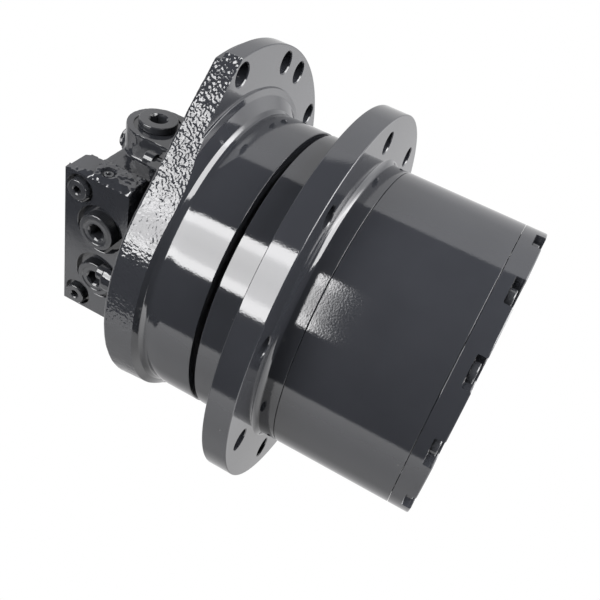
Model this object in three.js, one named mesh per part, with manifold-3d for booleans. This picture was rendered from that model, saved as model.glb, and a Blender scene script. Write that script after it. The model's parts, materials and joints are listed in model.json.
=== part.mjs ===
// Track-drive hydraulic motor: an axial-piston motor with its valve block, driving a
// two-stage planetary hub. Millimetres. The motor axis is X, with +X towards the hub
// cover and +Z up through the top port. The origin lies on the axis, in the machined
// back face of the frame flange.
import * as THREE from 'three';
import { mergeVertices } from 'three/addons/utils/BufferGeometryUtils.js';
import Module from 'manifold-3d';

const wasm = await Module();
wasm.setup();

const GAP = 0.3;
const TAU = 2 * Math.PI;
const FINE = 36;
const MEDIUM = 20;
const COARSE = 10;
const SMALL = 8;

// Frame flange and spindle
const FLANGE_RIM = 140.8;
const FLANGE_BLANK = 146;
const FLANGE_FRONT = 11;
const FLANGE_PROUD_BACK = -4.6;
const PROUD_RADIUS = 111;
const FLANGE_PAD = { back: -4.2, radius: 137.5 };
const UPPER_FLAT = { turn: 137.8, distance: 102.5 };
const LOWER_FLAT = { turn: 227, distance: 106.5 };
const WAIST_RADIUS = 105.5;
const FRAME_HOLE_CIRCLE = 129.5;
const FRAME_HOLE_RADIUS = 7.5;
const FRAME_HOLE_TURNS = [92.4, 64.9, 52, 25.4, 2.4, -20.6, -47.2, -60.1, -87.6];
const NECK_ROOT = 113;
const NECK_END = 18;
const BARREL_RADIUS = 99.3;
const BARREL_END = 53.6;
const NOSE_RADIUS = 58;
const NOSE_END = 104;
const TENON_RADIUS = 34;
const TENON_END = 112.7;
const BRAKE_BORE = 66;
const BRAKE_SHOULDER = 17.3;
const MOTOR_BORE = 58;
const SWASH_BORE = 50;
const SWASH_BORE_END = 56;
const SHAFT_PASSAGE = 17;
const SHAFT_BEARING = { start: 84, end: 98, radius: 22 };

// Hub, ring gear and cover
const HUB_START = 57.7;
const SPROCKET_FLANGE = { start: 82.8, end: 99.4, radius: 130 };
const SPROCKET_HOLE_CIRCLE = 114;
const SPROCKET_HOLE_RADIUS = 7;
const SPROCKET_HOLES = 9;
const SPROCKET_FIRST_TURN = 78.9;
const CASE_RADIUS = 97.6;
const HUB_SEAM = 113;
const COVER_SEAM = 192.2;
const COVER_END = 206.3;
const COVER_SPIGOT = { start: 185, radius: 70 };
const HUB_BORE = 76;
const SEAL_INNER = 74;
const SEAL_OUTER = 90;
const SEAL_DEPTH = { spindle: 47, hub: 67 };
const SEAL_FACE = 57.4;
const COVER_BOLTS = 12;
const COVER_BOLT_CIRCLE = 88.5;
const COVER_BOLT_FIRST_TURN = 19.3;
const COVER_BOLT = { head: 6.3, height: 4.2, shank: 4, length: 97 };
const POCKET_FLOOR = 200.1;
const POCKET_HALF_WIDTH = 9.8;
const COVER_PLUG_CIRCLE = 50;
const COVER_PLUG_SEAT = 201.8;

// Gear train: both stages run in the same ring gear
const GEAR_MODULE = 2.25;
const RING_TEETH = 66;
const FIRST_SUN_TEETH = 12;
const FIRST_PLANET_TEETH = 27;
const SECOND_SUN_TEETH = 18;
const SECOND_PLANET_TEETH = 24;
const PLANETS = 3;
const SECOND_STAGE = { start: 115, end: 143 };
const FIRST_STAGE = { start: 155, end: 179 };
const CARRIER_PLATE = { start: 146.3, end: 154.7, radius: 58 };
const CARRIER_HUB = 16;
const FIRST_PIN_RADIUS = 9.7;
const SECOND_PIN_RADIUS = 11.7;
const SECOND_SUN_BORE = 10.5;
const SHAFT_RADIUS = 12;
const QUILL_RADIUS = 8;

// Axial-piston motor
const MATING_FACE = -4.9;
const BLOCK_RADIUS = 42;
const PISTONS = 9;
const PISTON_CIRCLE = 29;
const PISTON_RADIUS = 5.9;
const PISTON_BORE = 6.3;
const SWASH = { radius: 44, thickness: 8, centre: 44.5, tilt: 7 };

// Valve body: a front plate across the casting behind it, and the top port boss
const PLATE = { left: -70, right: -22.5, front: -60.6, back: -38.5, half: 54 };
const CASTING = { left: -59, back: 48, half: 53.6, corner: 9 };
const BOSS = { x: -44, y: -2, radius: 20.2, top: 71, foot: 30, right: -10 };
const LUG_CIRCLE = 77;
const LUG_RADIUS = 9.5;
const LUG_FACE = -22;
const LUG_TURNS = [57.5, 117.5, 177.5, 237.5, 297.5, 357.5];
const LUG_BOLT = { head: 5, height: 7, shank: 3, length: 29 };
const SPOOL_X = -42.6;
const SPOOL_Z = 19.3;
const SPOOL_BORE = 8.3;
const GAUGE_X = -58.8;
const GAUGE_Z = 43.4;
const BIG_PLUG = { head: 12.7, height: 7.2, shank: 9.7, length: 12 };
const TOP_PLUG = { head: 12.7, height: 5, shank: 9.7, length: 12 };
const BIG_SEAT = 17.2;
const SMALL_PLUG = { head: 7.2, height: 6, shank: 4.7, length: 8 };
const SIDE_PLUG = { head: 6.8, height: 3.6, shank: 4.7, length: 8 };
const SMALL_SEAT = 9.6;
const COVER_PLUG = { head: 10.8, height: 4, shank: 7, length: 9 };
const SEAT_DEPTH = 3;
const SIDE_PORT = { x: -65.2, y: -1, z: 50 };
const SET_SCREW = { x: -44.4, y: -51.8, radius: 3.2 };

const radians = (degrees) => (degrees * Math.PI) / 180;
const polar = (radius, degrees) => [
  radius * Math.cos(radians(degrees)),
  radius * Math.sin(radians(degrees)),
];

// Geometry helpers ---------------------------------------------------------------

function closed(geometry) {
  const bare = geometry.clone();
  bare.deleteAttribute('normal');
  bare.deleteAttribute('uv');
  const merged = mergeVertices(bare, 1e-4);
  const corners = merged.index.array;
  const kept = [];
  for (let i = 0; i < corners.length; i += 3) {
    const [a, b, c] = corners.slice(i, i + 3);
    if (a !== b && b !== c && c !== a) kept.push(a, b, c);
  }
  merged.setIndex(kept);
  return merged;
}

function solid(geometry) {
  const shape = closed(geometry);
  const vertProperties = new Float32Array(shape.attributes.position.array);
  const triVerts = new Uint32Array(shape.index.array);
  return new wasm.Manifold(new wasm.Mesh({ numProp: 3, vertProperties, triVerts }));
}

function geometryOf(body) {
  const mesh = body.getMesh();
  const geometry = new THREE.BufferGeometry();
  geometry.setAttribute('position', new THREE.BufferAttribute(mesh.vertProperties, 3));
  geometry.setIndex(new THREE.BufferAttribute(mesh.triVerts, 1));
  return geometry;
}

function cut(geometry, cutters) {
  let body = solid(geometry);
  for (const cutter of cutters) body = body.subtract(solid(cutter));
  return geometryOf(body);
}

function join(geometries) {
  let body = solid(geometries[0]);
  for (const other of geometries.slice(1)) body = body.add(solid(other));
  return geometryOf(body);
}

// A solid of revolution about X from [x, radius] pairs.
function revolve(profile, sides = FINE) {
  const points = profile.map(([x, radius]) => new THREE.Vector2(radius, x));
  return new THREE.LatheGeometry(points, sides).rotateZ(-Math.PI / 2);
}

function cylinder(radius, start, end, sides = COARSE) {
  return revolve([[start, 0], [start, radius], [end, radius], [end, 0]], sides);
}

function tube(inner, outer, start, end, sides = MEDIUM) {
  const profile = [[start, inner], [start, outer], [end, outer], [end, inner], [start, inner]];
  return revolve(profile, sides);
}

function circle(radius, sides, centre = [0, 0]) {
  const points = [];
  for (let i = 0; i < sides; i += 1) {
    const [y, z] = polar(radius, (360 * i) / sides);
    points.push([centre[0] + y, centre[1] + z]);
  }
  return points;
}

// A prism along X, from start to end, with its outline and holes as [y, z] points.
function prism(outline, holes, start, end) {
  const vectors = (points) => points.map(([y, z]) => new THREE.Vector2(y, z));
  const shape = new THREE.Shape(vectors(outline));
  shape.holes = holes.map((hole) => new THREE.Path(vectors(hole)));
  const geometry = new THREE.ExtrudeGeometry(shape, {
    depth: end - start,
    bevelEnabled: false,
  });
  const axes = new THREE.Matrix4().makeBasis(
    new THREE.Vector3(0, 1, 0),
    new THREE.Vector3(0, 0, 1),
    new THREE.Vector3(1, 0, 0),
  );
  return geometry.applyMatrix4(axes).translate(start, 0, 0);
}

function box(x0, x1, y0, y1, z0, z1) {
  const geometry = new THREE.BoxGeometry(x1 - x0, y1 - y0, z1 - z0);
  return geometry.translate((x0 + x1) / 2, (y0 + y1) / 2, (z0 + z1) / 2);
}

// Screws and plugs: the head stands on x = 0 towards +X, the shank runs towards -X.
function screw({ head, height, shank, length }, sides) {
  return revolve([
    [-length, 0], [-length, shank], [0, shank], [0, head], [height, head], [height, 0],
  ], sides);
}

// Gears --------------------------------------------------------------------------

function toothedCircle(teeth, tipRadius, rootRadius, halfTooth) {
  const points = [];
  for (let i = 0; i < teeth; i += 1) {
    const middle = (TAU * i) / teeth;
    const corners = [
      [rootRadius, -halfTooth(rootRadius)], [tipRadius, -halfTooth(tipRadius)],
      [tipRadius, halfTooth(tipRadius)], [rootRadius, halfTooth(rootRadius)],
    ];
    for (const [radius, offset] of corners) {
      points.push([radius * Math.cos(middle + offset), radius * Math.sin(middle + offset)]);
    }
  }
  return points;
}

const PRESSURE_SLOPE = Math.tan(radians(20));
const SIDE_CLEARANCE = 0.35;

function gearOutline(teeth) {
  const pitchRadius = (GEAR_MODULE * teeth) / 2;
  const halfPitchTooth = (Math.PI * GEAR_MODULE) / 4 - SIDE_CLEARANCE;
  const halfTooth = (radius) =>
    (halfPitchTooth - (radius - pitchRadius) * PRESSURE_SLOPE) / radius;
  const tip = pitchRadius + 0.9 * GEAR_MODULE;
  const root = pitchRadius - 1.25 * GEAR_MODULE;
  return toothedCircle(teeth, tip, root, halfTooth);
}

function ringOutline(teeth) {
  const pitchRadius = (GEAR_MODULE * teeth) / 2;
  const halfPitchTooth = (Math.PI * GEAR_MODULE) / 4 - SIDE_CLEARANCE;
  const halfTooth = (radius) =>
    (halfPitchTooth + (radius - pitchRadius) * PRESSURE_SLOPE) / radius;
  const tip = pitchRadius - 0.85 * GEAR_MODULE;
  const root = pitchRadius + 1.25 * GEAR_MODULE;
  return toothedCircle(teeth, tip, root, halfTooth);
}

// Turn that puts a planet at the given place, in mesh with a ring gear that has a
// tooth on +Y, and the turn of the sun that meshes with that planet.
function planetTurn(place, planetTeeth) {
  const ringPhase = (place * RING_TEETH) / TAU + 0.5;
  return place - (ringPhase * TAU) / planetTeeth;
}

function sunTurn(place, planetTeeth, sunTeeth) {
  const facing = place + Math.PI - planetTurn(place, planetTeeth);
  const sunPhase = 0.5 - (facing * planetTeeth) / TAU;
  return place - (sunPhase * TAU) / sunTeeth;
}

const firstStageRadius = (GEAR_MODULE * (FIRST_SUN_TEETH + FIRST_PLANET_TEETH)) / 2;
const secondStageRadius = (GEAR_MODULE * (SECOND_SUN_TEETH + SECOND_PLANET_TEETH)) / 2;
const placeOf = (index) => (TAU * index) / PLANETS + Math.PI / 2;
const placed = (radius, place) => [radius * Math.cos(place), radius * Math.sin(place)];

// Materials and scene graph ------------------------------------------------------

const FINISHES = {
  enamel: { color: 0x24272a, roughness: 0.28, metalness: 0.1 },
  plugPaint: { color: 0x2a2c2f, roughness: 0.4, metalness: 0.2 },
  steel: { color: 0x9c9fa3, roughness: 0.35, metalness: 0.9 },
  gearSteel: { color: 0x84878b, roughness: 0.4, metalness: 0.9 },
  castIron: { color: 0x5a5b5c, roughness: 0.6, metalness: 0.6 },
  bronze: { color: 0xa77b45, roughness: 0.4, metalness: 0.9 },
  friction: { color: 0x5f5444, roughness: 0.8, metalness: 0.1 },
};

const motor = new THREE.Group();
const hub = new THREE.Group();
const rotor = new THREE.Group();
const carrier = new THREE.Group();
motor.add(hub, rotor, carrier);

function addPiece(group, name, geometry, finish, position = [0, 0, 0], rotation = [0, 0, 0]) {
  const material = new THREE.MeshStandardMaterial({ ...FINISHES[finish], flatShading: true });
  const mesh = new THREE.Mesh(closed(geometry), material);
  mesh.name = name;
  mesh.position.set(...position);
  mesh.rotation.set(...rotation);
  group.add(mesh);
}

// Spindle with the frame flange --------------------------------------------------

function flangeRadius(degrees) {
  const limits = [FLANGE_RIM];
  for (const flat of [UPPER_FLAT, LOWER_FLAT]) {
    const facing = Math.cos(radians(degrees - flat.turn));
    if (facing > 0) limits.push(flat.distance / facing);
  }
  if (degrees > UPPER_FLAT.turn && degrees < LOWER_FLAT.turn) limits.push(WAIST_RADIUS);
  return Math.min(...limits);
}

function flatCorners(flat) {
  const reach = (Math.acos(flat.distance / FLANGE_RIM) * 360) / TAU;
  return [flat.turn - reach, flat.turn + reach];
}

function flangeOutline() {
  const turns = new Set([flatCorners(UPPER_FLAT)[0], flatCorners(LOWER_FLAT)[1]]);
  for (let degrees = 0; degrees < 360; degrees += 9) turns.add(degrees);
  return [...turns].sort((a, b) => a - b).map((turn) => polar(flangeRadius(turn), turn));
}

function spindleGeometry() {
  const body = revolve([
    [FLANGE_PROUD_BACK, 0], [FLANGE_PROUD_BACK, PROUD_RADIUS],
    [FLANGE_PAD.back, PROUD_RADIUS], [FLANGE_PAD.back, FLANGE_PAD.radius],
    [0, FLANGE_PAD.radius], [0, FLANGE_BLANK], [FLANGE_FRONT, FLANGE_BLANK], [FLANGE_FRONT, NECK_ROOT],
    [NECK_END, 99.8], [21, 98.2], [28, BARREL_RADIUS],
    [BARREL_END, BARREL_RADIUS], [BARREL_END, SEAL_OUTER],
    [SEAL_DEPTH.spindle, SEAL_OUTER], [SEAL_DEPTH.spindle, SEAL_INNER],
    [BARREL_END, SEAL_INNER], [BARREL_END, NOSE_RADIUS], [NOSE_END, NOSE_RADIUS],
    [NOSE_END, TENON_RADIUS], [TENON_END, TENON_RADIUS], [TENON_END, 0],
  ]);
  const around = FLANGE_BLANK + 10;
  const square = [[-around, -around], [around, -around], [around, around], [-around, around]];
  const trim = prism(square, [flangeOutline()], FLANGE_PROUD_BACK - 1, NECK_END);
  const cavity = revolve([
    [FLANGE_PROUD_BACK - 1, 0], [FLANGE_PROUD_BACK - 1, BRAKE_BORE],
    [BRAKE_SHOULDER, BRAKE_BORE], [BRAKE_SHOULDER, MOTOR_BORE], [46, MOTOR_BORE],
    [46, SWASH_BORE], [SWASH_BORE_END, SWASH_BORE], [SWASH_BORE_END, SHAFT_PASSAGE],
    [SHAFT_BEARING.start, SHAFT_PASSAGE], [SHAFT_BEARING.start, SHAFT_BEARING.radius],
    [TENON_END + 1, SHAFT_BEARING.radius], [TENON_END + 1, 0],
  ]);
  const frameHoles = FRAME_HOLE_TURNS.map((turn) => {
    const [y, z] = polar(FRAME_HOLE_CIRCLE, turn);
    const hole = cylinder(FRAME_HOLE_RADIUS, FLANGE_PROUD_BACK - 1, FLANGE_FRONT + 1, SMALL);
    return hole.translate(0, y, z);
  });
  const lugHoles = LUG_TURNS.map((turn) => {
    const [y, z] = polar(LUG_CIRCLE, turn);
    const hole = cylinder(LUG_BOLT.shank + 2 * GAP, FLANGE_PROUD_BACK - 1, 9, 6);
    return hole.translate(0, y, z);
  });
  return cut(body, [trim, cavity, ...frameHoles, ...lugHoles]);
}

addPiece(motor, 'spindle', spindleGeometry(), 'enamel');

// Valve body and what is screwed into it -----------------------------------------

function roundedRectangle(y0, y1, z0, z1, corner) {
  const points = [];
  const centres = [
    [y1 - corner, z1 - corner, 0], [y0 + corner, z1 - corner, 90],
    [y0 + corner, z0 + corner, 180], [y1 - corner, z0 + corner, 270],
  ];
  for (const [y, z, start] of centres) {
    for (const turn of [0, 45, 90]) {
      const [dy, dz] = polar(corner, start + turn);
      points.push([y + dy, z + dz]);
    }
  }
  return points;
}

function valveBodyGeometry() {
  const { left, right, front, back, half } = PLATE;
  const plate = box(left, right, front, back, -half, half);
  const outline = roundedRectangle(back - 8, CASTING.back, -CASTING.half, CASTING.half,
    CASTING.corner);
  const casting = prism(outline, [], CASTING.left, LUG_FACE + 8);
  const flangePart = cylinder(62, LUG_FACE + 7, MATING_FACE, MEDIUM);
  const bossHeight = BOSS.top - BOSS.foot;
  const boss = cylinder(BOSS.radius, 0, bossHeight, MEDIUM).rotateY(-Math.PI / 2);
  boss.translate(BOSS.x, BOSS.y, BOSS.foot);
  const bossBridge = box(BOSS.x, BOSS.right, BOSS.y - BOSS.radius, BOSS.y + BOSS.radius,
    BOSS.foot, BOSS.top);
  const sidePad = cylinder(9.5, SIDE_PORT.x, CASTING.left + 10).translate(0, SIDE_PORT.y,
    SIDE_PORT.z);
  const lugs = LUG_TURNS.map((turn) => {
    const [y, z] = polar(LUG_CIRCLE, turn);
    const ear = cylinder(LUG_RADIUS, LUG_FACE, MATING_FACE).translate(0, y, z);
    const arm = box(LUG_FACE, MATING_FACE, 0, LUG_CIRCLE, -LUG_RADIUS, LUG_RADIUS);
    return join([ear, arm.rotateX(radians(turn))]);
  });
  const body = join([]
    .concat(plate, casting, flangePart, boss, bossBridge, sidePad, lugs));

  const topSeat = cylinder(15.5, 0, 3, MEDIUM).rotateY(-Math.PI / 2);
  topSeat.translate(BOSS.x, BOSS.y, BOSS.top - 1);
  const topPort = cylinder(TOP_PLUG.shank + GAP, -30, 2, MEDIUM).rotateY(-Math.PI / 2);
  topPort.translate(BOSS.x, BOSS.y, BOSS.top);
  const sidePort = cylinder(SIDE_PLUG.shank + GAP, -1, 12).translate(SIDE_PORT.x, SIDE_PORT.y,
    SIDE_PORT.z);
  const lugHoles = LUG_TURNS.map((turn) => {
    const [y, z] = polar(LUG_CIRCLE, turn);
    const hole = cylinder(LUG_BOLT.shank + 2 * GAP, LUG_FACE - 1, MATING_FACE + 1, 6);
    return hole.translate(0, y, z);
  });
  const frontBores = [];
  for (const side of [-1, 1]) {
    const spool = cylinder(SPOOL_BORE, -92, 2, COARSE);
    const spoolPort = cylinder(BIG_PLUG.shank + GAP, -17, 2, MEDIUM);
    const spoolSeat = cylinder(BIG_SEAT, -SEAT_DEPTH, 2, MEDIUM);
    const gaugePort = cylinder(SMALL_PLUG.shank + GAP, -14, 2, COARSE);
    const gaugeSeat = cylinder(SMALL_SEAT, -SEAT_DEPTH, 2, COARSE);
    for (const bore of [spool, spoolPort, spoolSeat]) {
      frontBores.push(bore.rotateZ(-Math.PI / 2).translate(SPOOL_X, front, side * SPOOL_Z));
    }
    for (const bore of [gaugePort, gaugeSeat]) {
      frontBores.push(bore.rotateZ(-Math.PI / 2).translate(GAUGE_X, front, side * GAUGE_Z));
    }
  }
  const screwHole = cylinder(SET_SCREW.radius + GAP, -8, 2, 8).rotateY(-Math.PI / 2);
  screwHole.translate(SET_SCREW.x, SET_SCREW.y, PLATE.half);
  const shaftBore = cylinder(SHAFT_RADIUS + 1, -21, MATING_FACE + 1, MEDIUM);
  return cut(body, [topSeat, topPort, sidePort, screwHole, shaftBore, ...lugHoles,
    ...frontBores]);
}

addPiece(motor, 'valve_body', valveBodyGeometry(), 'enamel');

const outFront = [0, 0, -Math.PI / 2];
const outTop = [0, -Math.PI / 2, 0];
const outRear = [0, Math.PI, 0];
addPiece(motor, 'top_port_plug', screw(TOP_PLUG, MEDIUM), 'plugPaint',
  [BOSS.x, BOSS.y, BOSS.top - 1 + GAP], outTop);
addPiece(motor, 'side_port_plug', screw(SIDE_PLUG, COARSE), 'plugPaint',
  [SIDE_PORT.x - GAP, SIDE_PORT.y, SIDE_PORT.z], outRear);
for (const [side, name] of [[1, 'upper'], [-1, 'lower']]) {
  const seat = PLATE.front + SEAT_DEPTH - GAP;
  addPiece(motor, `${name}_spool_plug`, screw(BIG_PLUG, MEDIUM), 'plugPaint',
    [SPOOL_X, seat, side * SPOOL_Z], outFront);
  addPiece(motor, `${name}_gauge_plug`, screw(SMALL_PLUG, COARSE), 'plugPaint',
    [GAUGE_X, seat, side * GAUGE_Z], outFront);
}
addPiece(motor, 'set_screw', cylinder(SET_SCREW.radius, -7, 0.6, SMALL), 'plugPaint',
  [SET_SCREW.x, SET_SCREW.y, PLATE.half], outTop);
LUG_TURNS.forEach((turn, index) => {
  const [y, z] = polar(LUG_CIRCLE, turn);
  addPiece(motor, `valve_body_bolt_${index + 1}`, screw(LUG_BOLT, SMALL), 'plugPaint',
    [LUG_FACE - GAP, y, z], outRear);
});

// Counterbalance spool: lands at both ends and in the middle of a thinner stem
const spoolProfile = [
  [-30, 0], [-30, 8], [-18, 8], [-18, 4.5], [-6, 4.5], [-6, 8], [6, 8],
  [6, 4.5], [18, 4.5], [18, 8], [30, 8], [30, 0],
];
addPiece(motor, 'counterbalance_spool', revolve(spoolProfile, COARSE), 'steel',
  [SPOOL_X, -5, SPOOL_Z], outFront);

// Axial-piston motor -------------------------------------------------------------

function kidney(middle) {
  const points = [];
  const steps = 5;
  for (let i = 0; i <= steps; i += 1) points.push(polar(32, middle - 65 + (130 * i) / steps));
  for (let i = steps; i >= 0; i -= 1) points.push(polar(26, middle - 65 + (130 * i) / steps));
  return points;
}

const valvePlate = prism(circle(38, MEDIUM), [circle(13, MEDIUM), kidney(0), kidney(180)],
  MATING_FACE + GAP, MATING_FACE + 3.3);
addPiece(motor, 'valve_plate', valvePlate, 'bronze');

const pistonCentres = Array.from({ length: PISTONS }, (_, i) =>
  polar(PISTON_CIRCLE, 90 + (360 * i) / PISTONS));
const cylinderBores = pistonCentres.map((centre) => circle(PISTON_BORE, 8, centre));
const blockStart = MATING_FACE + 3.6;
addPiece(rotor, 'cylinder_block', prism(circle(BLOCK_RADIUS, MEDIUM),
  [circle(SHAFT_RADIUS + 0.6, MEDIUM), ...cylinderBores], blockStart, 26), 'castIron');

const retainer = prism(circle(39, MEDIUM), [circle(16, MEDIUM)], 31, 34);
const pistons = pistonCentres.map((centre) => prism(circle(PISTON_RADIUS, 8, centre), [], 4, 32));
addPiece(rotor, 'piston_set', join([retainer, ...pistons]), 'steel');

const swashDisc = tube(SHAFT_PASSAGE, SWASH.radius, -SWASH.thickness / 2,
  SWASH.thickness / 2, MEDIUM);
addPiece(motor, 'swash_plate', swashDisc, 'steel', [SWASH.centre, 0, 0],
  [0, radians(SWASH.tilt), 0]);

addPiece(rotor, 'brake_disc', tube(42.9, 57, 14, 17), 'friction');
addPiece(motor, 'brake_piston', tube(46, 65.2, 0.5, 13.7), 'castIron');

const motorShaft = revolve([
  [-19, 0], [-19, SHAFT_RADIUS], [SHAFT_BEARING.end + 2, SHAFT_RADIUS],
  [SHAFT_BEARING.end + 2, QUILL_RADIUS], [183, QUILL_RADIUS], [183, 0],
], MEDIUM);
addPiece(rotor, 'motor_shaft', motorShaft, 'steel');
addPiece(motor, 'shaft_bearing', tube(SHAFT_RADIUS + GAP, SHAFT_BEARING.radius - GAP,
  SHAFT_BEARING.start + GAP, SHAFT_BEARING.end, MEDIUM), 'steel');

// Hub housing, bearings and seals ------------------------------------------------

function turnsAround(count, first) {
  return Array.from({ length: count }, (_, i) => first + (360 * i) / count);
}

const sprocketTurns = turnsAround(SPROCKET_HOLES, SPROCKET_FIRST_TURN);
const coverBoltTurns = turnsAround(COVER_BOLTS, COVER_BOLT_FIRST_TURN);

function boltHoles(start, end) {
  return coverBoltTurns.map((turn) => {
    const [y, z] = polar(COVER_BOLT_CIRCLE, turn);
    return cylinder(COVER_BOLT.shank + 3 * GAP, start, end, 6).translate(0, y, z);
  });
}

function hubGeometry() {
  const { start, end, radius } = SPROCKET_FLANGE;
  const body = revolve([
    [HUB_START, SEAL_OUTER], [HUB_START, BARREL_RADIUS], [80, BARREL_RADIUS],
    [start, 102.5], [start, radius], [end, radius], [end, 99.5], [102, CASE_RADIUS],
    [HUB_SEAM - GAP / 2, CASE_RADIUS],
    [HUB_SEAM - GAP / 2, HUB_BORE], [SEAL_DEPTH.hub, HUB_BORE],
    [SEAL_DEPTH.hub, SEAL_OUTER], [HUB_START, SEAL_OUTER],
  ]);
  const sprocketHoles = sprocketTurns.map((turn) => {
    const [y, z] = polar(SPROCKET_HOLE_CIRCLE, turn);
    return cylinder(SPROCKET_HOLE_RADIUS, start - 1, end + 1, SMALL).translate(0, y, z);
  });
  return cut(body, [...sprocketHoles, ...boltHoles(99, HUB_SEAM + 1)]);
}

addPiece(hub, 'hub_housing', hubGeometry(), 'enamel');
addPiece(motor, 'fixed_seal_ring', tube(SEAL_INNER + 1.3, SEAL_OUTER - 0.8,
  SEAL_DEPTH.spindle + GAP, SEAL_FACE - GAP / 2), 'castIron');
addPiece(hub, 'rotating_seal_ring', tube(SEAL_INNER + 1.3, SEAL_OUTER - 0.8,
  SEAL_FACE + GAP / 2, SEAL_DEPTH.hub - GAP), 'castIron');
[68.5, 86].forEach((start, index) => {
  const end = start + 14.5;
  addPiece(motor, `main_bearing_inner_race_${index + 1}`,
    tube(NOSE_RADIUS + 1.1, 65, start, end), 'steel');
  addPiece(hub, `main_bearing_outer_race_${index + 1}`,
    tube(69.5, HUB_BORE - 0.7, start, end), 'steel');
});

// Planetary gears ----------------------------------------------------------------

const ringGear = prism(circle(CASE_RADIUS, FINE), [ringOutline(RING_TEETH)]
  .concat(coverBoltTurns.map((turn) =>
    circle(COVER_BOLT.shank + 3 * GAP, 6, polar(COVER_BOLT_CIRCLE, turn)))),
HUB_SEAM + GAP / 2, COVER_SEAM - GAP / 2);
addPiece(hub, 'ring_gear', ringGear, 'enamel');

const pinHoles = Array.from({ length: PLANETS }, (_, i) =>
  circle(SECOND_PIN_RADIUS + GAP, COARSE, placed(secondStageRadius, placeOf(i))));
addPiece(motor, 'fixed_planet_carrier', prism(circle(70, MEDIUM),
  [circle(TENON_RADIUS + 0.7, MEDIUM), ...pinHoles], NOSE_END + GAP, TENON_END), 'castIron');

const firstPins = Array.from({ length: PLANETS }, (_, i) =>
  prism(circle(FIRST_PIN_RADIUS, COARSE, placed(firstStageRadius, placeOf(i))), [],
    CARRIER_PLATE.end - 1, FIRST_STAGE.end + 3));
const carrierPlate = prism(circle(CARRIER_PLATE.radius, MEDIUM),
  [circle(CARRIER_HUB + 0.5, MEDIUM)], CARRIER_PLATE.start, CARRIER_PLATE.end);
addPiece(carrier, 'first_stage_carrier', join([carrierPlate, ...firstPins]), 'castIron');

const secondSunTeeth = prism(gearOutline(SECOND_SUN_TEETH), [circle(SECOND_SUN_BORE, MEDIUM)],
  SECOND_STAGE.start, CARRIER_PLATE.start - 1);
const secondSunHub = tube(SECOND_SUN_BORE, CARRIER_HUB, CARRIER_PLATE.start - 1.5,
  CARRIER_PLATE.end - GAP, MEDIUM);
secondSunTeeth.rotateX(sunTurn(placeOf(0), SECOND_PLANET_TEETH, SECOND_SUN_TEETH));
addPiece(carrier, 'second_stage_sun', join([secondSunTeeth, secondSunHub]), 'gearSteel');

const firstSun = prism(gearOutline(FIRST_SUN_TEETH), [circle(QUILL_RADIUS + 0.4, MEDIUM)], 0,
  FIRST_STAGE.end + 1 - FIRST_STAGE.start);
addPiece(rotor, 'first_stage_sun', firstSun, 'gearSteel', [FIRST_STAGE.start, 0, 0],
  [sunTurn(placeOf(0), FIRST_PLANET_TEETH, FIRST_SUN_TEETH), 0, 0]);

for (let i = 0; i < PLANETS; i += 1) {
  const place = placeOf(i);
  const first = prism(gearOutline(FIRST_PLANET_TEETH),
    [circle(FIRST_PIN_RADIUS + 0.9, COARSE)], 0, FIRST_STAGE.end - FIRST_STAGE.start);
  addPiece(motor, `first_stage_planet_${i + 1}`, first, 'gearSteel',
    [FIRST_STAGE.start, ...placed(firstStageRadius, place)],
    [planetTurn(place, FIRST_PLANET_TEETH), 0, 0]);
  const second = prism(gearOutline(SECOND_PLANET_TEETH),
    [circle(SECOND_PIN_RADIUS + 1, COARSE)], 0, SECOND_STAGE.end - SECOND_STAGE.start);
  addPiece(motor, `second_stage_planet_${i + 1}`, second, 'gearSteel',
    [SECOND_STAGE.start, ...placed(secondStageRadius, place)],
    [planetTurn(place, SECOND_PLANET_TEETH), 0, 0]);
  addPiece(motor, `second_stage_pin_${i + 1}`,
    prism(circle(SECOND_PIN_RADIUS, COARSE), [], NOSE_END + 1, SECOND_STAGE.end + 2), 'steel',
    [0, ...placed(secondStageRadius, place)]);
}

// End cover and its fasteners ----------------------------------------------------

function pocketOutline() {
  const points = [[30, -POCKET_HALF_WIDTH], [30, POCKET_HALF_WIDTH]];
  for (const turn of [90, 135, 180, 225, 270]) {
    points.push(polar(POCKET_HALF_WIDTH, turn));
  }
  return points;
}

function coverGeometry() {
  const face = COVER_SEAM + GAP / 2;
  const body = revolve([
    [COVER_SPIGOT.start, 0], [COVER_SPIGOT.start, COVER_SPIGOT.radius],
    [face, COVER_SPIGOT.radius], [face, CASE_RADIUS], [COVER_END, CASE_RADIUS],
    [COVER_END, 0],
  ]);
  const pockets = coverBoltTurns.map((turn) => {
    const pocket = prism(pocketOutline(), [], POCKET_FLOOR, COVER_END + 1);
    return pocket.translate(0, COVER_BOLT_CIRCLE, 0).rotateX(radians(turn));
  });
  const ports = [0, 180].flatMap((turn) => {
    const [y, z] = polar(COVER_PLUG_CIRCLE, turn);
    const seat = cylinder(COVER_PLUG.head + 0.8, COVER_PLUG_SEAT, COVER_END + 1, MEDIUM);
    const bore = cylinder(COVER_PLUG.shank + GAP, 188, COVER_END, MEDIUM);
    return [seat.translate(0, y, z), bore.translate(0, y, z)];
  });
  return cut(body, [...pockets, ...boltHoles(face - 1, POCKET_FLOOR + 1), ...ports]);
}

addPiece(hub, 'end_cover', coverGeometry(), 'enamel');
[0, 180].forEach((turn, index) => {
  addPiece(hub, ['level_plug', 'drain_plug'][index], screw(COVER_PLUG, MEDIUM), 'plugPaint',
    [COVER_PLUG_SEAT + GAP, ...polar(COVER_PLUG_CIRCLE, turn)]);
});
coverBoltTurns.forEach((turn, index) => {
  addPiece(hub, `cover_bolt_${String(index + 1).padStart(2, '0')}`, screw(COVER_BOLT, SMALL),
    'plugPaint', [POCKET_FLOOR + GAP, ...polar(COVER_BOLT_CIRCLE, turn)]);
});

export default motor;
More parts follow.
